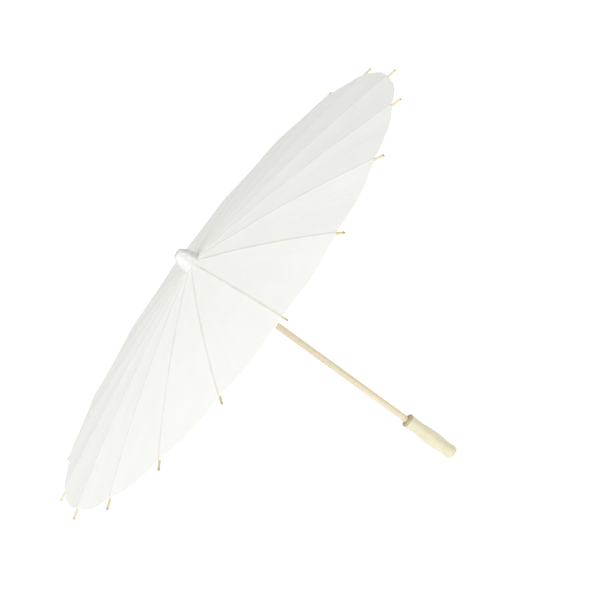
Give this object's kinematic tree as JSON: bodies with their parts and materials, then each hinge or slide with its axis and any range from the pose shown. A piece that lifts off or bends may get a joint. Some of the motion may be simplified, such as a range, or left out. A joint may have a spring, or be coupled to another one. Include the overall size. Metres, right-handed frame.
{
  "type": "oil paper umbrella",
  "caption": "Open paper parasol with a wood shaft and turned handle, bamboo ribs and stretchers under a shallow pleated paper canopy, and a runner that slides down to fold it.",
  "frame": {"origin": "centre of the flat end of the handle", "axes": "+Z along the shaft from the handle to the cap; +X along the first rib"},
  "size_m": [0.82, 0.808, 0.534],
  "materials": {
    "paper": "matt white oiled paper with fibres and radial pleats",
    "bamboo": "split bamboo with long fibres",
    "split_bamboo": "raw split bamboo",
    "dowel_wood": "sanded light wood",
    "hub_wood": "raw turned wood",
    "lacquered_wood": "pale yellow gloss lacquer",
    "cap_paper": "white paper glued over wood",
    "spring_steel": "bright wire"
  },
  "bodies": {
    "frame": {"shaft": "dowel_wood", "handle": "lacquered_wood", "top_notch": "hub_wood", "cap": "cap_paper"},
    "rib_00": {"rib_00": "bamboo", "canopy_panel_00": "paper"},
    "rib_01": {"rib_01": "bamboo", "canopy_panel_01": "paper"},
    "rib_02": {"rib_02": "bamboo", "canopy_panel_02": "paper"},
    "rib_03": {"rib_03": "bamboo", "canopy_panel_03": "paper"},
    "rib_04": {"rib_04": "bamboo", "canopy_panel_04": "paper"},
    "rib_05": {"rib_05": "bamboo", "canopy_panel_05": "paper"},
    "rib_06": {"rib_06": "bamboo", "canopy_panel_06": "paper"},
    "rib_07": {"rib_07": "bamboo", "canopy_panel_07": "paper"},
    "rib_08": {"rib_08": "bamboo", "canopy_panel_08": "paper"},
    "rib_09": {"rib_09": "bamboo", "canopy_panel_09": "paper"},
    "rib_10": {"rib_10": "bamboo", "canopy_panel_10": "paper"},
    "rib_11": {"rib_11": "bamboo", "canopy_panel_11": "paper"},
    "rib_12": {"rib_12": "bamboo", "canopy_panel_12": "paper"},
    "rib_13": {"rib_13": "bamboo", "canopy_panel_13": "paper"},
    "rib_14": {"rib_14": "bamboo", "canopy_panel_14": "paper"},
    "rib_15": {"rib_15": "bamboo", "canopy_panel_15": "paper"},
    "rib_16": {"rib_16": "bamboo", "canopy_panel_16": "paper"},
    "rib_17": {"rib_17": "bamboo", "canopy_panel_17": "paper"},
    "stretcher_00": {"stretcher_00": "split_bamboo"},
    "stretcher_01": {"stretcher_01": "split_bamboo"},
    "stretcher_02": {"stretcher_02": "split_bamboo"},
    "stretcher_03": {"stretcher_03": "split_bamboo"},
    "stretcher_04": {"stretcher_04": "split_bamboo"},
    "stretcher_05": {"stretcher_05": "split_bamboo"},
    "stretcher_06": {"stretcher_06": "split_bamboo"},
    "stretcher_07": {"stretcher_07": "split_bamboo"},
    "stretcher_08": {"stretcher_08": "split_bamboo"},
    "stretcher_09": {"stretcher_09": "split_bamboo"},
    "stretcher_10": {"stretcher_10": "split_bamboo"},
    "stretcher_11": {"stretcher_11": "split_bamboo"},
    "stretcher_12": {"stretcher_12": "split_bamboo"},
    "stretcher_13": {"stretcher_13": "split_bamboo"},
    "stretcher_14": {"stretcher_14": "split_bamboo"},
    "stretcher_15": {"stretcher_15": "split_bamboo"},
    "stretcher_16": {"stretcher_16": "split_bamboo"},
    "stretcher_17": {"stretcher_17": "split_bamboo"},
    "runner": {"runner": "hub_wood"},
    "catch": {"catch_spring": "spring_steel"}
  },
  "joints": [
    {"name": "rib_fold_00", "type": "hinge", "parent": "frame", "child": "rib_00", "pos_m": [0.0105, 0, 0.506], "axis": [0, 1, 0], "range_deg": [0, 78.7], "deforming": ["canopy_panel_00", "catch_spring"]},
    {"name": "rib_fold_01", "type": "hinge", "parent": "frame", "child": "rib_01", "pos_m": [0.00987, 0.00359, 0.506], "axis": [-0.342, 0.9397, 0], "range_deg": [0, 78.7], "deforming": ["canopy_panel_01"]},
    {"name": "rib_fold_02", "type": "hinge", "parent": "frame", "child": "rib_02", "pos_m": [0.00804, 0.00675, 0.506], "axis": [-0.6428, 0.766, 0], "range_deg": [0, 78.7], "deforming": ["canopy_panel_02"]},
    {"name": "rib_fold_03", "type": "hinge", "parent": "frame", "child": "rib_03", "pos_m": [0.00525, 0.00909, 0.506], "axis": [-0.866, 0.5, 0], "range_deg": [0, 78.7], "deforming": ["canopy_panel_03"]},
    {"name": "rib_fold_04", "type": "hinge", "parent": "frame", "child": "rib_04", "pos_m": [0.00182, 0.01034, 0.506], "axis": [-0.9848, 0.1736, 0], "range_deg": [0, 78.7], "deforming": ["canopy_panel_04"]},
    {"name": "rib_fold_05", "type": "hinge", "parent": "frame", "child": "rib_05", "pos_m": [-0.00182, 0.01034, 0.506], "axis": [-0.9848, -0.1736, 0], "range_deg": [0, 78.7], "deforming": ["canopy_panel_05"]},
    {"name": "rib_fold_06", "type": "hinge", "parent": "frame", "child": "rib_06", "pos_m": [-0.00525, 0.00909, 0.506], "axis": [-0.866, -0.5, 0], "range_deg": [0, 78.7], "deforming": ["canopy_panel_06"]},
    {"name": "rib_fold_07", "type": "hinge", "parent": "frame", "child": "rib_07", "pos_m": [-0.00804, 0.00675, 0.506], "axis": [-0.6428, -0.766, 0], "range_deg": [0, 78.7], "deforming": ["canopy_panel_07"]},
    {"name": "rib_fold_08", "type": "hinge", "parent": "frame", "child": "rib_08", "pos_m": [-0.00987, 0.00359, 0.506], "axis": [-0.342, -0.9397, 0], "range_deg": [0, 78.7], "deforming": ["canopy_panel_08"]},
    {"name": "rib_fold_09", "type": "hinge", "parent": "frame", "child": "rib_09", "pos_m": [-0.0105, 0, 0.506], "axis": [0, -1, 0], "range_deg": [0, 78.7], "deforming": ["canopy_panel_09"]},
    {"name": "rib_fold_10", "type": "hinge", "parent": "frame", "child": "rib_10", "pos_m": [-0.00987, -0.00359, 0.506], "axis": [0.342, -0.9397, 0], "range_deg": [0, 78.7], "deforming": ["canopy_panel_10"]},
    {"name": "rib_fold_11", "type": "hinge", "parent": "frame", "child": "rib_11", "pos_m": [-0.00804, -0.00675, 0.506], "axis": [0.6428, -0.766, 0], "range_deg": [0, 78.7], "deforming": ["canopy_panel_11"]},
    {"name": "rib_fold_12", "type": "hinge", "parent": "frame", "child": "rib_12", "pos_m": [-0.00525, -0.00909, 0.506], "axis": [0.866, -0.5, 0], "range_deg": [0, 78.7], "deforming": ["canopy_panel_12"]},
    {"name": "rib_fold_13", "type": "hinge", "parent": "frame", "child": "rib_13", "pos_m": [-0.00182, -0.01034, 0.506], "axis": [0.9848, -0.1736, 0], "range_deg": [0, 78.7], "deforming": ["canopy_panel_13"]},
    {"name": "rib_fold_14", "type": "hinge", "parent": "frame", "child": "rib_14", "pos_m": [0.00182, -0.01034, 0.506], "axis": [0.9848, 0.1736, 0], "range_deg": [0, 78.7], "deforming": ["canopy_panel_14"]},
    {"name": "rib_fold_15", "type": "hinge", "parent": "frame", "child": "rib_15", "pos_m": [0.00525, -0.00909, 0.506], "axis": [0.866, 0.5, 0], "range_deg": [0, 78.7], "deforming": ["canopy_panel_15"]},
    {"name": "rib_fold_16", "type": "hinge", "parent": "frame", "child": "rib_16", "pos_m": [0.00804, -0.00675, 0.506], "axis": [0.6428, 0.766, 0], "range_deg": [0, 78.7], "deforming": ["canopy_panel_16"]},
    {"name": "rib_fold_17", "type": "hinge", "parent": "frame", "child": "rib_17", "pos_m": [0.00987, -0.00359, 0.506], "axis": [0.342, 0.9397, 0], "range_deg": [0, 78.7], "deforming": ["canopy_panel_17"]},
    {"name": "stretcher_turn_00", "type": "hinge", "parent": "rib_00", "child": "stretcher_00", "pos_m": [0.1945, 0, 0.4807], "axis": [0, 1, 0], "range_deg": [-157.4, 0]},
    {"name": "stretcher_turn_01", "type": "hinge", "parent": "rib_01", "child": "stretcher_01", "pos_m": [0.18277, 0.06652, 0.4807], "axis": [-0.342, 0.9397, 0], "range_deg": [-157.4, 0]},
    {"name": "stretcher_turn_02", "type": "hinge", "parent": "rib_02", "child": "stretcher_02", "pos_m": [0.149, 0.12502, 0.4807], "axis": [-0.6428, 0.766, 0], "range_deg": [-157.4, 0]},
    {"name": "stretcher_turn_03", "type": "hinge", "parent": "rib_03", "child": "stretcher_03", "pos_m": [0.09725, 0.16844, 0.4807], "axis": [-0.866, 0.5, 0], "range_deg": [-157.4, 0]},
    {"name": "stretcher_turn_04", "type": "hinge", "parent": "rib_04", "child": "stretcher_04", "pos_m": [0.03377, 0.19154, 0.4807], "axis": [-0.9848, 0.1736, 0], "range_deg": [-157.4, 0]},
    {"name": "stretcher_turn_05", "type": "hinge", "parent": "rib_05", "child": "stretcher_05", "pos_m": [-0.03377, 0.19154, 0.4807], "axis": [-0.9848, -0.1736, 0], "range_deg": [-157.4, 0]},
    {"name": "stretcher_turn_06", "type": "hinge", "parent": "rib_06", "child": "stretcher_06", "pos_m": [-0.09725, 0.16844, 0.4807], "axis": [-0.866, -0.5, 0], "range_deg": [-157.4, 0]},
    {"name": "stretcher_turn_07", "type": "hinge", "parent": "rib_07", "child": "stretcher_07", "pos_m": [-0.149, 0.12502, 0.4807], "axis": [-0.6428, -0.766, 0], "range_deg": [-157.4, 0]},
    {"name": "stretcher_turn_08", "type": "hinge", "parent": "rib_08", "child": "stretcher_08", "pos_m": [-0.18277, 0.06652, 0.4807], "axis": [-0.342, -0.9397, 0], "range_deg": [-157.4, 0]},
    {"name": "stretcher_turn_09", "type": "hinge", "parent": "rib_09", "child": "stretcher_09", "pos_m": [-0.1945, 0, 0.4807], "axis": [0, -1, 0], "range_deg": [-157.4, 0]},
    {"name": "stretcher_turn_10", "type": "hinge", "parent": "rib_10", "child": "stretcher_10", "pos_m": [-0.18277, -0.06652, 0.4807], "axis": [0.342, -0.9397, 0], "range_deg": [-157.4, 0]},
    {"name": "stretcher_turn_11", "type": "hinge", "parent": "rib_11", "child": "stretcher_11", "pos_m": [-0.149, -0.12502, 0.4807], "axis": [0.6428, -0.766, 0], "range_deg": [-157.4, 0]},
    {"name": "stretcher_turn_12", "type": "hinge", "parent": "rib_12", "child": "stretcher_12", "pos_m": [-0.09725, -0.16844, 0.4807], "axis": [0.866, -0.5, 0], "range_deg": [-157.4, 0]},
    {"name": "stretcher_turn_13", "type": "hinge", "parent": "rib_13", "child": "stretcher_13", "pos_m": [-0.03377, -0.19154, 0.4807], "axis": [0.9848, -0.1736, 0], "range_deg": [-157.4, 0]},
    {"name": "stretcher_turn_14", "type": "hinge", "parent": "rib_14", "child": "stretcher_14", "pos_m": [0.03377, -0.19154, 0.4807], "axis": [0.9848, 0.1736, 0], "range_deg": [-157.4, 0]},
    {"name": "stretcher_turn_15", "type": "hinge", "parent": "rib_15", "child": "stretcher_15", "pos_m": [0.09725, -0.16844, 0.4807], "axis": [0.866, 0.5, 0], "range_deg": [-157.4, 0]},
    {"name": "stretcher_turn_16", "type": "hinge", "parent": "rib_16", "child": "stretcher_16", "pos_m": [0.149, -0.12502, 0.4807], "axis": [0.6428, 0.766, 0], "range_deg": [-157.4, 0]},
    {"name": "stretcher_turn_17", "type": "hinge", "parent": "rib_17", "child": "stretcher_17", "pos_m": [0.18277, -0.06652, 0.4807], "axis": [0.342, 0.9397, 0], "range_deg": [-157.4, 0]},
    {"name": "runner_turn", "type": "hinge", "parent": "stretcher_00", "child": "runner", "pos_m": [0.0105, 0, 0.4554], "axis": [0, 1, 0], "range_deg": [0, 78.7]},
    {"name": "catch_press", "type": "hinge", "parent": "frame", "child": "catch", "pos_m": [0.00148, 0.00026, 0.4073], "axis": [-0.1736, 0.9848, 0], "range_deg": [-6, 0], "stiffness_Nm_per_rad": 0.05}
  ],
  "couplings": [
    {"joint": "rib_fold_01", "follows": "rib_fold_00", "ratio": 1},
    {"joint": "rib_fold_02", "follows": "rib_fold_00", "ratio": 1},
    {"joint": "rib_fold_03", "follows": "rib_fold_00", "ratio": 1},
    {"joint": "rib_fold_04", "follows": "rib_fold_00", "ratio": 1},
    {"joint": "rib_fold_05", "follows": "rib_fold_00", "ratio": 1},
    {"joint": "rib_fold_06", "follows": "rib_fold_00", "ratio": 1},
    {"joint": "rib_fold_07", "follows": "rib_fold_00", "ratio": 1},
    {"joint": "rib_fold_08", "follows": "rib_fold_00", "ratio": 1},
    {"joint": "rib_fold_09", "follows": "rib_fold_00", "ratio": 1},
    {"joint": "rib_fold_10", "follows": "rib_fold_00", "ratio": 1},
    {"joint": "rib_fold_11", "follows": "rib_fold_00", "ratio": 1},
    {"joint": "rib_fold_12", "follows": "rib_fold_00", "ratio": 1},
    {"joint": "rib_fold_13", "follows": "rib_fold_00", "ratio": 1},
    {"joint": "rib_fold_14", "follows": "rib_fold_00", "ratio": 1},
    {"joint": "rib_fold_15", "follows": "rib_fold_00", "ratio": 1},
    {"joint": "rib_fold_16", "follows": "rib_fold_00", "ratio": 1},
    {"joint": "rib_fold_17", "follows": "rib_fold_00", "ratio": 1},
    {"joint": "stretcher_turn_00", "follows": "rib_fold_00", "ratio": -2},
    {"joint": "stretcher_turn_01", "follows": "rib_fold_00", "ratio": -2},
    {"joint": "stretcher_turn_02", "follows": "rib_fold_00", "ratio": -2},
    {"joint": "stretcher_turn_03", "follows": "rib_fold_00", "ratio": -2},
    {"joint": "stretcher_turn_04", "follows": "rib_fold_00", "ratio": -2},
    {"joint": "stretcher_turn_05", "follows": "rib_fold_00", "ratio": -2},
    {"joint": "stretcher_turn_06", "follows": "rib_fold_00", "ratio": -2},
    {"joint": "stretcher_turn_07", "follows": "rib_fold_00", "ratio": -2},
    {"joint": "stretcher_turn_08", "follows": "rib_fold_00", "ratio": -2},
    {"joint": "stretcher_turn_09", "follows": "rib_fold_00", "ratio": -2},
    {"joint": "stretcher_turn_10", "follows": "rib_fold_00", "ratio": -2},
    {"joint": "stretcher_turn_11", "follows": "rib_fold_00", "ratio": -2},
    {"joint": "stretcher_turn_12", "follows": "rib_fold_00", "ratio": -2},
    {"joint": "stretcher_turn_13", "follows": "rib_fold_00", "ratio": -2},
    {"joint": "stretcher_turn_14", "follows": "rib_fold_00", "ratio": -2},
    {"joint": "stretcher_turn_15", "follows": "rib_fold_00", "ratio": -2},
    {"joint": "stretcher_turn_16", "follows": "rib_fold_00", "ratio": -2},
    {"joint": "stretcher_turn_17", "follows": "rib_fold_00", "ratio": -2},
    {"joint": "runner_turn", "follows": "rib_fold_00", "ratio": 1}
  ]
}
